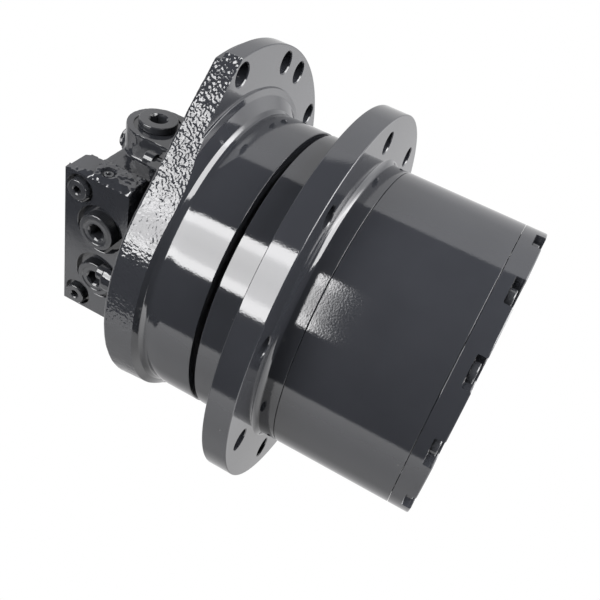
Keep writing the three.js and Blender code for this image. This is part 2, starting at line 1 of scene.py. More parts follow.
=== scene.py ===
"""Looks of a track-drive hydraulic motor: enamelled castings, plugs and screws around the CAD frame."""
import itertools
import json
import math

import bmesh
import bpy
import numpy as np
from mathutils import Matrix, Vector


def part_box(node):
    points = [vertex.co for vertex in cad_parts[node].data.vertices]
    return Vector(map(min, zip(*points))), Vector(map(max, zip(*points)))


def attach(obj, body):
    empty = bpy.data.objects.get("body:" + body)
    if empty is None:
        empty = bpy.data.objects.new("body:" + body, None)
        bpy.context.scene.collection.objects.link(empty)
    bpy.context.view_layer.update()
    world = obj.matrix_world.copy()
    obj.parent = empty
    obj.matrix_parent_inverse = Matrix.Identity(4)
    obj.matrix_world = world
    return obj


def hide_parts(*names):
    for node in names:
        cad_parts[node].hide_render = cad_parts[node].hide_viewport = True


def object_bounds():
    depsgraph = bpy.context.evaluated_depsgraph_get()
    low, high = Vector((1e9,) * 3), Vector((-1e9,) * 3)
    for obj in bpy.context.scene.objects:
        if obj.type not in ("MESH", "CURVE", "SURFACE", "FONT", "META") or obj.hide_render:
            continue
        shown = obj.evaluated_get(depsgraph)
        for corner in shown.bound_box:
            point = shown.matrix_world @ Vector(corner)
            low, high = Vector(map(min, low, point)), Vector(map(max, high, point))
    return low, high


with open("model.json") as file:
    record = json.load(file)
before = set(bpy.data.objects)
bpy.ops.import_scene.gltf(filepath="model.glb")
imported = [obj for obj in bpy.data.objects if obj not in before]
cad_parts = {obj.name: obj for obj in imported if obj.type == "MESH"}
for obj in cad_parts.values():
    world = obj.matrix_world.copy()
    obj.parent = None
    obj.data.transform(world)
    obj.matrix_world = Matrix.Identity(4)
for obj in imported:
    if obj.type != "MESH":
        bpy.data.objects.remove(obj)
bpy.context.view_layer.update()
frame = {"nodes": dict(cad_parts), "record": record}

MM = 0.001
TAU = 2 * math.pi
SIDES = 240
AXES = "xyz"

# Places read from the frame, in millimetres -------------------------------------


def span(node, axis):
    low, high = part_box(node)
    index = AXES.index(axis)
    return low[index] / MM, high[index] / MM


def centre(node, axes):
    """Middle of a CAD node's box along each of the named axes."""
    low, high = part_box(node)
    return tuple((low[k] + high[k]) / 2 / MM for k in map(AXES.index, axes))


FLANGE_PROUD_BACK, TENON_END = span("spindle", "x")
FLANGE_RIM = span("spindle", "z")[1]
HUB_START, HUB_END = span("hub_housing", "x")
SPROCKET_RADIUS = span("hub_housing", "z")[1]
CASE_START, CASE_END = span("ring_gear", "x")
CASE_RADIUS = span("ring_gear", "y")[1]
SPIGOT_START, COVER_END = span("end_cover", "x")
PLATE_LEFT, MATING_FACE = span("valve_body", "x")
GAP = 0.3
COVER_SEAM = CASE_END + GAP / 2
COVER_FACE = COVER_SEAM + GAP / 2

# Frame flange and spindle, as in the CAD
FLANGE_FRONT = 11
PROUD_RADIUS = 111
PAD_BACK, PAD_RADIUS = -4.2, 137.5
FRAME_HOLE_CIRCLE = 129.5
FRAME_HOLE_RADIUS = 7.5
FRAME_HOLE_TURNS = [92.4, 64.9, 52, 25.4, 2.4, -20.6, -47.2, -60.1, -87.6]
UPPER_FLAT = 137.8
LOWER_FLAT = 227
FACE_RADIUS = 113.3
LEDGE_RADIUS = 112.7
CONE_START, CONE_RADIUS = 13.3, 108.3
NECK_END, NECK_RADIUS = 18, 100.6
GROOVE_PLACE, GROOVE_RADIUS = 21, 98.3
CUT_TURNS = (91, 272)
BARREL_START, BARREL_END, BARREL_RADIUS = 28, 53.6, 99.3
SEAL_OUTER = 90
SEAL_INNER = 74
SEAL_FLOOR = 47

# Inside of the spindle: bores from the valve side to the tenon
MOTOR_BORE = 66
CHAMBER_BORE, CHAMBER_START, CHAMBER_END = 58, 17.3, 46
BRAKE_BORE, BRAKE_END = 50, 56
SHAFT_BORE, BEARING_BORE, BEARING_START = 17, 22, 84
NOSE_RADIUS, NOSE_END = 58, 104
TENON_RADIUS = 34

# Sprocket flange
SPROCKET_START, SPROCKET_END = 82.8, 99.4
SPROCKET_HOLE_CIRCLE = 114
SPROCKET_HOLE_RADIUS = 7
SPROCKET_HOLES = 9
SPROCKET_FIRST_TURN = 78.9
HUB_BORE = 76

# Valve block
PLATE_FRONT, PLATE_RIGHT, PLATE_BACK, PLATE_HALF = -60.6, -22.5, -38.5, 54
CASTING = {"left": -59, "back": 48, "half": 53.6, "corner": 9}
BOSS = {"x": -44, "y": -2, "radius": 20.2, "top": 71, "foot": 30, "right": -10}
SIDE_PORT = {"radius": 9.5, "face": -65.2, "foot": -49}
PAD_RISE = 4
SCREW_LIFT = 2.2
MOUNTING_DISC = 62
LUG_CIRCLE = 77
LUG_RADIUS = 9.5
LUG_FACE = -22
SEAT_DEPTH = 3
BLOCK_SCREWS = 6
COVER_SCREWS = 12


def polar(radius, degrees):
    return radius * math.cos(math.radians(degrees)), radius * math.sin(math.radians(degrees))


# Mesh helpers -------------------------------------------------------------------


def make_object(name, vertices, faces):
    mesh = bpy.data.meshes.new(name)
    mesh.from_pydata((np.array(vertices, float) * MM).tolist(), [], faces)
    work = bmesh.new()
    work.from_mesh(mesh)
    bmesh.ops.recalc_face_normals(work, faces=work.faces)
    work.to_mesh(mesh)
    work.free()
    obj = bpy.data.objects.new(name, mesh)
    bpy.context.scene.collection.objects.link(obj)
    return obj


def rounded(corners, steps=4):
    """Profile points from (x, radius) or (x, radius, fillet) corners, each fillet as a short curve."""
    closed = tuple(corners[0][:2]) == tuple(corners[-1][:2])
    points = []
    for i, corner in enumerate(corners):
        here = np.array(corner[:2], float)
        fillet = corner[2] if len(corner) > 2 else 0
        if fillet == 0 or (i in (0, len(corners) - 1) and not closed):
            points.append(tuple(here))
            continue
        before = np.array(corners[i - 1 if i else -2][:2], float)
        after = np.array(corners[i + 1 if i < len(corners) - 1 else 1][:2], float)
        start = here + (before - here) * min(0.48, fillet / np.linalg.norm(before - here))
        end = here + (after - here) * min(0.48, fillet / np.linalg.norm(after - here))
        for step in range(steps + 1):
            t = step / steps
            points.append(tuple((1 - t) ** 2 * start + 2 * t * (1 - t) * here + t * t * end))
    return points


def revolve(name, profile, sides=SIDES, first=0.0):
    """A solid of revolution about X. A profile that ends where it starts makes a ring."""
    closed = np.allclose(profile[0], profile[-1])
    rows = profile[:-1] if closed else profile
    vertices, rings = [], []
    for x, radius in rows:
        count = 1 if radius < 1e-6 else sides
        rings.append(range(len(vertices), len(vertices) + count))
        for i in range(count):
            turn = first + TAU * i / sides
            vertices.append((x, radius * math.cos(turn), radius * math.sin(turn)))
    pairs = list(zip(rings, rings[1:])) + ([(rings[-1], rings[0])] if closed else [])
    faces = []
    for a, b in pairs:
        for i in range(sides):
            j = (i + 1) % sides
            if len(a) == 1 and len(b) == 1:
                continue
            if len(a) == 1:
                faces.append((a[0], b[j], b[i]))
            elif len(b) == 1:
                faces.append((a[i], a[j], b[0]))
            else:
                faces.append((a[i], a[j], b[j], b[i]))
    return make_object(name, vertices, faces)


def loft(name, sections):
    """A solid through equal-length loops of (x, y, z) points, capped at both ends."""
    count = len(sections[0])
    vertices = [point for section in sections for point in section]
    faces = [tuple(range(count))]
    for row in range(len(sections) - 1):
        for i in range(count):
            j = (i + 1) % count
            a, b = row * count, (row + 1) * count
            faces.append((a + i, a + j, b + j, b + i))
    last = (len(sections) - 1) * count
    faces.append(tuple(last + i for i in reversed(range(count))))
    return make_object(name, vertices, faces)


def block(name, x0, x1, y0, y1, z0, z1):
    loops = [[(x, y0, z0), (x, y1, z0), (x, y1, z1), (x, y0, z1)] for x in (x0, x1)]
    return loft(name, loops)


def bake(obj):
    graph = bpy.context.evaluated_depsgraph_get()
    mesh = bpy.data.meshes.new_from_object(obj.evaluated_get(graph))
    obj.modifiers.clear()
    obj.data = mesh
    return obj


def combine(target, others, operation="DIFFERENCE"):
    """Boolean of the target with each of the others, which are used up."""
    for other in others:
        modifier = target.modifiers.new("part", "BOOLEAN")
        modifier.object = other
        modifier.operation = operation
        modifier.solver = "MANIFOLD"
    bake(target)
    for other in others:
        bpy.data.objects.remove(other)
    return target


def turned(obj, matrix):
    obj.data.transform(matrix)
    return obj


def at(x, y, z):
    return Matrix.Translation(Vector((x, y, z)) * MM)


def facing(direction):
    """Turn that takes +X to the given direction."""
    return Vector((1, 0, 0)).rotation_difference(Vector(direction)).to_matrix().to_4x4()


def shade(obj, sharp_degrees=34):
    work = bmesh.new()
    work.from_mesh(obj.data)
    bmesh.ops.dissolve_degenerate(work, dist=2e-7, edges=work.edges)
    limit = math.radians(sharp_degrees)
    for face in work.faces:
        face.smooth = True
    for edge in work.edges:
        edge.smooth = len(edge.link_faces) == 2 and edge.calc_face_angle(0) < limit
    work.to_mesh(obj.data)
    work.free()
    weighted = obj.modifiers.new("weighted", "WEIGHTED_NORMAL")
    weighted.keep_sharp = True
    return obj


def bored(radius, start, end, chamfer, mouths=(1,), sides=64):
    """A cutter for a straight hole along X, widened at its mouths."""
    profile = [(start, 0), (start, radius)]
    if -1 in mouths:
        profile = [(start, 0), (start, radius + chamfer + 1), (start + 1, radius + chamfer),
                   (start + 1 + chamfer, radius)]
    if 1 in mouths:
        profile += [(end - 1 - chamfer, radius), (end - 1, radius + chamfer),
                    (end, radius + chamfer + 1), (end, 0)]
    else:
        profile += [(end, radius), (end, 0)]
    return revolve("bore", profile, sides)


# Noise for cast surfaces, in geometry -------------------------------------------


def lattice(points, cell, seed):
    """Smooth noise from about -1 to 1 at points in millimetres."""
    scaled = points / cell + 1000.0
    base = np.floor(scaled).astype(np.int64)
    fraction = scaled - base
    fade = fraction ** 3 * (fraction * (fraction * 6 - 15) + 10)
    total = np.zeros(len(points))
    for corner in itertools.product((0, 1), repeat=3):
        key = base + np.array(corner)
        mixed = key[:, 0] * 73856093 ^ key[:, 1] * 19349663 ^ key[:, 2] * 83492791 ^ seed * 2654435
        slope = np.zeros(len(points))
        for axis in range(3):
            mixed = (mixed * 1103515245 + 12345) & 0x7FFFFFFF
            slope += ((mixed >> 8) % 2048 / 1023.5 - 1) * (fraction[:, axis] - corner[axis])
        share = np.prod(np.where(np.array(corner) == 1, fade, 1 - fade), axis=1)
        total += share * slope
    return total * 1.6


def cast_height(points, cell=1.45, seed=1):
    """Pebbled height of a rough casting, about -1 to 1."""
    coarse = lattice(points, cell, seed)
    fine = lattice(points, cell * 0.53, seed + 7)
    wide = lattice(points, cell * 5, seed + 13)
    return coarse + fine * 0.5 + wide * 0.9


def positions(mesh):
    flat = np.empty(len(mesh.vertices) * 3, np.float32)
    mesh.vertices.foreach_get("co", flat)
    return flat.reshape(-1, 3).astype(float)


def smoothstep(low, high, value):
    t = np.clip((value - low) / (high - low), 0, 1)
    return t * t * (3 - 2 * t)


# Materials ----------------------------------------------------------------------


class Graph:
    """A short way to write node trees."""

    def __init__(self, tree):
        self.tree = tree

    def node(self, kind, inputs=(), **settings):
        node = self.tree.nodes.new(kind)
        for key, value in settings.items():
            setattr(node, key, value)
        for key, value in dict(inputs).items():
            if isinstance(value, bpy.types.NodeSocket):
                self.tree.links.new(value, node.inputs[key])
            else:
                node.inputs[key].default_value = value
        return node

    def math(self, operation, a, b=0.0, clamp=False):
        return self.node("ShaderNodeMath", {0: a, 1: b}, operation=operation,
                         use_clamp=clamp).outputs[0]

    def ramp(self, factor, stops):
        node = self.node("ShaderNodeValToRGB", {0: factor})
        elements = node.color_ramp.elements
        while len(elements) > 1:
            elements.remove(elements[-1])
        for i, (place, colour) in enumerate(stops):
            element = elements[0] if i == 0 else elements.new(place)
            element.position = place
            element.color = colour if len(colour) == 4 else (*colour, 1)
        return node.outputs[0]

    def noise(self, vector, scale, detail=2.0, roughness=0.5):
        node = self.node("ShaderNodeTexNoise", {"Vector": vector, "Scale": scale,
                                                "Detail": detail, "Roughness": roughness})
        return node.outputs["Fac"]


def grey(value):
    return (value, value, value, 1)


def new_material(name):
    material = bpy.data.materials.new(name)
    material.use_nodes = True
    material.node_tree.nodes.clear()
    return material, Graph(material.node_tree)


def finish_material(graph, base, roughness, height, distance, metallic=0.0, ior=1.5, strength=1.0):
    bump = graph.node("ShaderNodeBump", {"Height": height, "Distance": distance,
                                         "Strength": strength})
    shader = graph.node("ShaderNodeBsdfPrincipled", {"Base Color": base, "Roughness": roughness,
                                                     "Normal": bump.outputs[0],
                                                     "Metallic": metallic, "IOR": ior})
    graph.node("ShaderNodeOutputMaterial", {"Surface": shader.outputs[0]})


def mixed(graph, factor, a, b):
    node = graph.node("ShaderNodeMix", data_type="RGBA")
    graph.tree.links.new(factor, node.inputs["Factor"])
    for socket, value in ((node.inputs[6], a), (node.inputs[7], b)):
        if isinstance(value, bpy.types.NodeSocket):
            graph.tree.links.new(value, socket)
        else:
            socket.default_value = value
    return node.outputs[2]


def enamel(name, peel=1.0, cast=0.0, gloss=0.06, colour=(0.0175, 0.0185, 0.0215, 1)):
    """Glossy sprayed enamel: orange peel, faint mottling and a few dust nibs."""
    material, graph = new_material(name)
    where = graph.node("ShaderNodeTexCoord").outputs["Object"]
    ripple = graph.noise(where, 950, 2.0, 0.5)
    swell = graph.noise(where, 130, 2.0, 0.5)
    pits = graph.noise(where, 380, 4.0, 0.62)
    specks = graph.node("ShaderNodeTexVoronoi", {"Vector": where, "Scale": 95.0})
    lone = graph.math("GREATER_THAN", graph.node(
        "ShaderNodeSeparateColor", {0: specks.outputs["Color"]}).outputs[0], 0.86)
    nib = graph.math("MULTIPLY", graph.math("LESS_THAN", specks.outputs["Distance"], 0.045), lone)
    height = graph.math("ADD", graph.math("MULTIPLY", ripple, 0.019 * peel),
                        graph.math("MULTIPLY", swell, 0.014 * peel))
    height = graph.math("ADD", height, graph.math("MULTIPLY", pits, 0.10 * cast))
    height = graph.math("ADD", height, graph.math("MULTIPLY", nib, 0.04))
    mottle = graph.noise(where, 22, 3.0, 0.6)
    darker = tuple(c * 0.82 for c in colour[:3]) + (1,)
    lighter = tuple(min(1, c * 1.2) for c in colour[:3]) + (1,)
    base = mixed(graph, mottle, darker, lighter)
    base = mixed(graph, graph.math("MULTIPLY", nib, 0.35), base, (0.16, 0.155, 0.15, 1))
    rough = graph.math("ADD", graph.math("MULTIPLY", mottle, 0.05), gloss - 0.025)
    finish_material(graph, base, rough, height, 0.001)
    return material


def metal(name, colour, roughness, scratch_scale, ior=1.5, metallic=1.0, grain=0.004):
    """Machined metal: fine turning marks round the part and slow tone changes."""
    material, graph = new_material(name)
    where = graph.node("ShaderNodeTexCoord").outputs["Object"]
    stretched = graph.node("ShaderNodeMapping", {"Vector": where, "Scale": scratch_scale})
    lines = graph.noise(stretched.outputs[0], 1.0, 3.0, 0.7)
    tone = graph.noise(where, 60, 3.0, 0.6)
    dark = tuple(c * 0.75 for c in colour) + (1,)
    base = mixed(graph, tone, dark, (*colour, 1))
    rough = graph.math("ADD", graph.math("MULTIPLY", lines, 0.25), roughness - 0.12)
    finish_material(graph, base, rough, lines, grain * 0.01, metallic=metallic, ior=ior)
    return material


ENAMEL = enamel("enamel_machined")
ENAMEL_CAST = enamel("enamel_cast", peel=1.6, cast=0.9)
ENAMEL_BLOCK = enamel("enamel_block", peel=1.3, cast=0.25)
FASTENER = enamel("fastener_enamel", peel=0.7, gloss=0.15, colour=(0.0195, 0.0205, 0.023, 1))
GROUND_STEEL = metal("ground_steel", (0.55, 0.56, 0.58), 0.28, (3000, 60, 60))
GEAR_STEEL = metal("gear_steel", (0.42, 0.43, 0.45), 0.34, (900, 300, 300))
CAST_IRON = metal("machined_iron", (0.2, 0.2, 0.2), 0.5, (600, 400, 400), metallic=0.8)
SEAL_IRON = metal("seal_iron", (0.03, 0.03, 0.032), 0.5, (600, 400, 400), metallic=0.3)
BRONZE = metal("bronze", (0.55, 0.36, 0.16), 0.3, (200, 1500, 1500))
FRICTION = metal("friction_lining", (0.16, 0.13, 0.1), 0.85, (500, 500, 500), metallic=0.0)


# Pieces -------------------------------------------------------------------------

BODY_OF = {node: body for body, nodes in frame["record"]["behaviour"]["bodies"].items()
           for node in nodes}
SLOT_OF = {row["node"]: row["material_slot"] for row in frame["record"]["subparts"]}


def add_piece(obj, node, material):
    """The finished object stands in for the CAD node: it joins the node's body, gets the given
    materials, and the node is hidden.
    """
    obj.name = f"{node}_finish"
    obj.data.name = obj.name
    obj.data.materials.clear()
    for each in material if isinstance(material, list) else [material]:
        obj.data.materials.append(each)
    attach(obj, BODY_OF[node])
    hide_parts(node)


# Spindle with the frame flange

SPINDLE_PROFILE = [
    (FLANGE_PROUD_BACK, MOTOR_BORE), (FLANGE_PROUD_BACK, PROUD_RADIUS, 0.2),
    (PAD_BACK, PROUD_RADIUS + 0.4), (PAD_BACK, PAD_RADIUS, 0.8), (0, PAD_RADIUS + 0.3, 0.4),
    (0, FLANGE_RIM, 0.9), (FLANGE_FRONT, FLANGE_RIM, 0.9), (FLANGE_FRONT, FACE_RADIUS, 0.2),
    (FLANGE_FRONT + 1.4, LEDGE_RADIUS, 0.3), (CONE_START, CONE_RADIUS, 0.4),
    (NECK_END, NECK_RADIUS, 0.4), (GROOVE_PLACE, GROOVE_RADIUS, 1.5),
    (BARREL_START, BARREL_RADIUS, 3), (BARREL_END, BARREL_RADIUS, 0.7),
    (BARREL_END, SEAL_OUTER), (SEAL_FLOOR, SEAL_OUTER), (SEAL_FLOOR, SEAL_INNER),
    (BARREL_END, SEAL_INNER), (BARREL_END, NOSE_RADIUS), (NOSE_END, NOSE_RADIUS),
    (NOSE_END, TENON_RADIUS), (TENON_END, TENON_RADIUS), (TENON_END, BEARING_BORE),
    (BEARING_START, BEARING_BORE), (BEARING_START, SHAFT_BORE), (BRAKE_END, SHAFT_BORE),
    (BRAKE_END, BRAKE_BORE), (CHAMBER_END, BRAKE_BORE), (CHAMBER_END, CHAMBER_BORE),
    (CHAMBER_START, CHAMBER_BORE), (CHAMBER_START, MOTOR_BORE), (FLANGE_PROUD_BACK, MOTOR_BORE),
]

# Cut side of the flange, turn by turn: reach from the axis to its flats, roughness of its casting
SIDE_REACH = [(91, 100.6), (96, 101.5), (101.5, 102.6), (106, 103), (115, 103), (126, 103.1),
              (138, 103.8), (150, 104.8), (165, 105.4), (182, 105.8), (205, 106.2), (227, 106.5),
              (272, 106.5)]
ROUGHNESS = [(91, 1), (118, 1), (128, 0.8), (136, 0.28), (160, 0.25), (172, 0.5), (185, 0.4),
             (200, 0.28), (220, 0.2), (272, 0.2)]
TURN_STEP = 0.22
STATION_STEP = 0.42
BLEND_TURNS = 12
CAST_HEIGHT = 0.30
DRAFT = 0.055
BACK_CROWN, CROWN_WIDTH = 0.25, 2.2
SIDE_END = 25
CUTTER_RADIUS = 175


def along_turns(turns, stations):
    """Values at the given turns, between (turn, value) stations."""
    return np.interp(turns, *zip(*stations))


def side_points(reach, stations, turns):
    """Points (x, y, z) at each turn and station, the given reach from the axis."""
    angle = np.radians(turns)[:, None]
    x = np.broadcast_to(stations, reach.shape)
    return np.stack([x, reach * np.cos(angle), reach * np.sin(angle)], axis=-1)


def side_shape(turns, stations):
    """Smooth reach of the cut side: two flats round a waist, drafted, with a crowned back edge."""
    reach = along_turns(turns, SIDE_REACH)
    window = 2 * BLEND_TURNS + 1
    reach = np.convolve(np.pad(reach, BLEND_TURNS, mode="edge"), np.ones(window) / window,
                        mode="valid")
    from_flat = np.minimum(np.abs(turns - UPPER_FLAT) * (turns < UPPER_FLAT)
                           + np.abs(turns - LOWER_FLAT) * (turns > LOWER_FLAT), 60)
    line = (reach / np.cos(np.radians(from_flat)))[:, None]
    shape = line - DRAFT * (stations[None, :] - FLANGE_PROUD_BACK)
    past_crown = np.maximum(0, FLANGE_PROUD_BACK + CROWN_WIDTH - stations[None, :])
    return shape - BACK_CROWN * past_crown ** 2


def cast_cutter():
    """What is missing from the round blank on the cut side, with a rough-cast face."""
    turns = np.arange(CUT_TURNS[0], CUT_TURNS[1] + 0.01, TURN_STEP)
    stations = np.arange(FLANGE_PROUD_BACK - 2, SIDE_END + 0.01, STATION_STEP)
    reach = side_shape(turns, stations)
    spots = side_points(reach, stations, turns)
    height = cast_height(spots.reshape(-1, 3)).reshape(reach.shape)
    reach = reach + height * CAST_HEIGHT * along_turns(turns, ROUGHNESS)[:, None]
    loops = []
    for turn, row in zip(turns, side_points(reach, stations, turns)):
        far = [(x, *polar(CUTTER_RADIUS, turn)) for x in (stations[-1], stations[0])]
        loops.append([tuple(point) for point in row] + far)
    return loft("cast_side", loops)


BLOCK_SCREW_BORE = 3.6


def block_screw_places():
    return [centre(f"valve_body_bolt_{i}", "yz") for i in range(1, BLOCK_SCREWS + 1)]


def build_spindle():
    body = revolve("spindle", rounded(SPINDLE_PROFILE))
    cutters = [cast_cutter()]
    for turn in FRAME_HOLE_TURNS:
        hole = bored(FRAME_HOLE_RADIUS, -1, FLANGE_FRONT + 1, 0.7, mouths=(-1, 1))
        cutters.append(turned(hole, at(0, *polar(FRAME_HOLE_CIRCLE, turn))))
    for y, z in block_screw_places():
        hole = revolve("bore", [(-6, 0), (-6, BLOCK_SCREW_BORE), (9, BLOCK_SCREW_BORE), (9, 0)], 24)
        cutters.append(turned(hole, at(0, y, z)))
    return shade(combine(body, cutters))


def mark_cast_side(obj):
    """Faces of the rough side get the second material."""
    for face in obj.data.polygons:
        x, y, z = (c / MM for c in face.center)
        turn = math.degrees(math.atan2(z, y)) % 360
        if not CUT_TURNS[0] < turn < CUT_TURNS[1]:
            continue
        radius = math.hypot(y, z)
        outward = (face.normal.y * y + face.normal.z * z) / radius
        on_side = (FLANGE_PROUD_BACK + 0.05 < x < GROOVE_PLACE
                   and NECK_RADIUS - 0.1 < radius < FLANGE_RIM - 1.2)
        if on_side and outward > 0.6 and abs(face.normal.x) < 0.6:
            face.material_index = 1


spindle = build_spindle()
add_piece(spindle, "spindle", [ENAMEL, ENAMEL_CAST])
mark_cast_side(spindle)

# Hub housing

SEAL_BED = 67
GROOVE_END = 80
HUB_FOOT = 102.5
SHOULDER = [(SPROCKET_END, 100.4, 0.5), (100.6, 98.9, 0.9), (102.4, CASE_RADIUS, 0.6)]
COVER_SCREW_BORE = 4.9
COVER_SCREW_FLOOR = 99
HUB_PROFILE = [
    (HUB_START, SEAL_OUTER), (HUB_START, BARREL_RADIUS, 0.7), (GROOVE_END, BARREL_RADIUS, 1.5),
    (SPROCKET_START, HUB_FOOT, 1.5), (SPROCKET_START, SPROCKET_RADIUS, 0.8),
    (SPROCKET_END, SPROCKET_RADIUS, 0.8), *SHOULDER,
    (HUB_END, CASE_RADIUS, 0.35), (HUB_END, HUB_BORE),
    (SEAL_BED, HUB_BORE), (SEAL_BED, SEAL_OUTER), (HUB_START, SEAL_OUTER),
]


def cover_screw_places():
    return [centre(f"cover_bolt_{i:02d}", "yz") for i in range(1, COVER_SCREWS + 1)]


def cover_screw_bores(start, end):
    for y, z in cover_screw_places():
        hole = revolve("bore", [(start, 0), (start, COVER_SCREW_BORE), (end, COVER_SCREW_BORE),
                                (end, 0)], 24)
        yield turned(hole, at(0, y, z))


def build_hub():
    body = revolve("hub", rounded(HUB_PROFILE))
    cutters = []
    for i in range(SPROCKET_HOLES):
        turn = SPROCKET_FIRST_TURN + 360 / SPROCKET_HOLES * i
        hole = bored(SPROCKET_HOLE_RADIUS, SPROCKET_START - 1, SPROCKET_END + 1, 0.6,
                     mouths=(-1, 1))
        cutters.append(turned(hole, at(0, *polar(SPROCKET_HOLE_CIRCLE, turn))))
    cutters += cover_screw_bores(COVER_SCREW_FLOOR, HUB_END + 1)
    return shade(combine(body, cutters))


add_piece(build_hub(), "hub_housing", ENAMEL)

# Ring gear: the CAD teeth inside a finely turned case


RING_JOIN = 94.2


def build_ring_gear():
    source = frame["nodes"]["ring_gear"]
    body = bpy.data.objects.new("ring_gear_body", source.data.copy())
    bpy.context.scene.collection.objects.link(body)
    work = bmesh.new()
    work.from_mesh(body.data)
    bmesh.ops.remove_doubles(work, verts=work.verts, dist=1e-6)
    work.to_mesh(body.data)
    work.free()
    shell = revolve("case", rounded([
        (CASE_START, RING_JOIN), (CASE_START, CASE_RADIUS, 0.35), (CASE_END, CASE_RADIUS, 0.35),
        (CASE_END, RING_JOIN), (CASE_START, RING_JOIN)]))
    trim_radius = RING_JOIN + 0.2
    trim = revolve("trim", [
        (CASE_START - 1, trim_radius), (CASE_START - 1, 110), (CASE_END + 1, 110),
        (CASE_END + 1, trim_radius), (CASE_START - 1, trim_radius)])
    return shade(combine(combine(body, [trim]), [shell], "UNION"))


add_piece(build_ring_gear(), "ring_gear", ENAMEL)

# End cover with a pocket for each bolt head

POCKET_HALF_WIDTH = 9.8
POCKET_DEPTH = 6.2
POCKET_REACH = 34
BOLT_CIRCLE = 88.5
SPIGOT_RADIUS = 70
COVER_PLUG_BORE = 7.3
COVER_PLUG_FLOOR = 188
COVER_PLUG_SEAT = 4.5


def pocket_loop(x, half_width):
    """A slot's outline: round towards the axis, open past the rim."""
    arc = [polar(half_width, turn) for turn in np.linspace(90, 270, 25)]
    points = [(x, POCKET_REACH, -half_width), (x, POCKET_REACH, half_width)]
    return points + [(x, y, z) for y, z in arc]


def pocket(turn, floor):
    steps = [(floor, -1.0), (floor + 0.35, -0.3), (floor + 1.1, 0), (COVER_END - 0.6, 0),
             (COVER_END + 0.5, 1.1)]
    cutter = loft("pocket", [pocket_loop(x, POCKET_HALF_WIDTH + wider) for x, wider in steps])
    return turned(cutter, Matrix.Rotation(turn, 4, "X") @ at(0, BOLT_CIRCLE, 0))


def plug_seat(node):
    low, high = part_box(node)
    place = at(0, *centre(node, "yz"))
    radius = (high[2] - low[2]) / 2 / MM + 0.8
    floor = COVER_END - COVER_PLUG_SEAT
    seat = revolve("seat", [(floor, 0), (floor, radius), (COVER_END - 0.5, radius),
                            (COVER_END + 1, radius + 1.5), (COVER_END + 1, 0)], 64)
    bore = revolve("bore", [(COVER_PLUG_FLOOR, 0), (COVER_PLUG_FLOOR, COVER_PLUG_BORE),
                            (COVER_END, COVER_PLUG_BORE), (COVER_END, 0)], 32)
    return [turned(seat, place), turned(bore, place)]


def build_cover():
    body = revolve("cover", rounded([
        (SPIGOT_START, 0), (SPIGOT_START, SPIGOT_RADIUS), (COVER_FACE, SPIGOT_RADIUS),
        (COVER_FACE, CASE_RADIUS, 0.35), (COVER_END, CASE_RADIUS, 1.1), (COVER_END, 0)]))
    floor = COVER_END - POCKET_DEPTH
    cutters = []
    for (y, z), bore in zip(cover_screw_places(), cover_screw_bores(COVER_FACE - 1, floor + 1)):
        cutters += [pocket(math.atan2(z, y), floor), bore]
    for node in ("level_plug", "drain_plug"):
        cutters += plug_seat(node)
    return shade(combine(body, cutters))


add_piece(build_cover(), "end_cover", ENAMEL)

# Screws and plugs ---------------------------------------------------------------

OUT = {"front": (1, -1), "top": (2, 1), "rear": (0, -1), "end": (0, 1)}


KNURL_DEPTH = 0.035
RING_WIDTH = (0.74, 0.71)
RING_DROP = 0.45


def knurl(body, count, head, start, end):
    """Press grooves into the head's rim between two places along X."""
    for vertex in body.data.vertices:
        x, y, z = (c / MM for c in vertex.co)
        if start < x < end and math.hypot(y, z) > head * 0.97:
            dip = 1 - KNURL_DEPTH * (0.5 + 0.5 * math.cos(count * math.atan2(z, y)))
            vertex.co.y *= dip
            vertex.co.z *= dip


def hex_socket(across_flats, depth, face):
    """Cutters for a hex socket and its bevelled mouth."""
    corner = across_flats / math.sqrt(3)
    socket = revolve("socket", [(face - depth, 0), (face - depth, corner), (face + 1, corner),
                                (face + 1, 0)], 6, math.radians(30))
    mouth = revolve("mouth", [(face - corner, 0), (face + 0.4, corner + 0.9),
                              (face + 1, corner + 0.9), (face + 1, 0)], 48)
    return [socket, mouth]


def screw(name, head, height, shank, length, hexagon, depth, knurls=0, ring=False):
    """A socket screw or plug. Its head's outer face lies on x = 0 and it runs towards -X."""
    bevel = min(0.55, 0.1 * height + 0.1)
    corners = [(-length, 0), (-length, shank, 0.5), (-height, shank), (-height, head * 0.985, 0.2),
               (-height + 0.6, head), (-bevel, head, 0.3), (0, head - bevel * 0.9, 0.3)]
    face = -RING_DROP if ring else 0
    if ring:
        corners += [(0, head * RING_WIDTH[0], 0.2), (face, head * RING_WIDTH[1], 0.2)]
    corners += [(face, 0)]
    body = revolve(name, rounded(corners, 3), 4 * knurls if knurls else 96)
    if knurls:
        knurl(body, knurls, head, -height + 0.3, -bevel * 0.8)
    return shade(combine(body, hex_socket(hexagon, depth, face)), 30)


def place_screw(node, source, out, spin=0.0, lift=0.0):
    axis, sign = OUT[out]
    low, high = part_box(node)
    place = (Vector(low) + Vector(high)) / 2
    place[axis] = (high[axis] if sign > 0 else low[axis]) + sign * lift * MM
    direction = [0, 0, 0]
    direction[axis] = sign
    obj = source.copy()
    bpy.context.scene.collection.objects.link(obj)
    obj.matrix_world = (Matrix.Translation(place) @ facing(direction)
                        @ Matrix.Rotation(math.radians(spin), 4, "X"))
    obj.name = f"{node}_finish"
    bpy.context.view_layer.update()
    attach(obj, BODY_OF[node])
    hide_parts(node)


def add_screws(source, placements):
    source.data.materials.clear()
    source.data.materials.append(FASTENER)
    for node, out, spin, *lift in placements:
        place_screw(node, source, out, spin, *lift)
    bpy.data.objects.remove(source)


